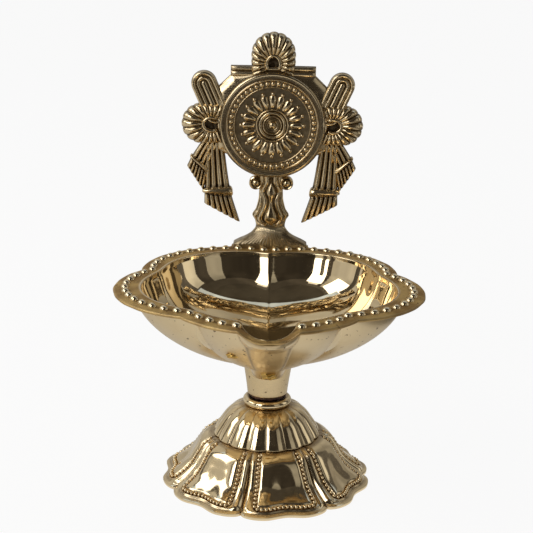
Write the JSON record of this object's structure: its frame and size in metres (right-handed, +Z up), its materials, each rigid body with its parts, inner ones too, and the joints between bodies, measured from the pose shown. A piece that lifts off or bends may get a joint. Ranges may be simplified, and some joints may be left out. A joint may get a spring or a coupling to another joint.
{
  "type": "aarti lamp",
  "caption": "Brass oil lamp: petalled base with a fluted dome, screwed stem, lobed bowl with a beaded rim and wick spout, and an upright wheel emblem on the rim.",
  "frame": {"origin": "on the floor, on the stem's axis, at the bottom centre of the lamp's box", "axes": "+Z up along the stem, -Y towards the wick spout (front), +X to the right seen from the front"},
  "size_m": [0.1178, 0.12, 0.1696],
  "materials": {
    "polished_brass": "cast brass, mirror polished, with fine scratches and brown tarnish in the recesses",
    "antique_brass": "cast brass, antiqued dark brown in the recesses and rubbed bright on the raised parts",
    "steel": "plain zinc-plated steel fastening under the base",
    "washer": "dark reddish brown washer"
  },
  "bodies": {
    "base": {"petal_skirt": "polished_brass", "fluted_dome": "polished_brass", "collar_ring": "polished_brass", "tie_washer": "steel", "tie_nut": "steel"},
    "seat": {"seat_washer": "washer"},
    "upper": {"stem": "polished_brass", "tie_stud": "steel", "bowl": "polished_brass", "emblem_core": "antique_brass", "front_medallion": "antique_brass", "back_medallion": "antique_brass", "hub_rivet": "antique_brass", "foot_screws": "antique_brass"}
  },
  "joints": [
    {"name": "washer_rise", "type": "slide", "parent": "base", "child": "seat", "axis": [0, 0, 1], "range_m": [0, 0.0079]},
    {"name": "bowl_turn", "type": "hinge", "parent": "seat", "child": "upper", "pos_m": [0, 0, 0.0352], "axis": [0, 0, 1], "range_deg": [0, 2250]}
  ],
  "couplings": [
    {"joint": "washer_rise", "follows": "bowl_turn", "m_per_rad": 0.00019894}
  ]
}
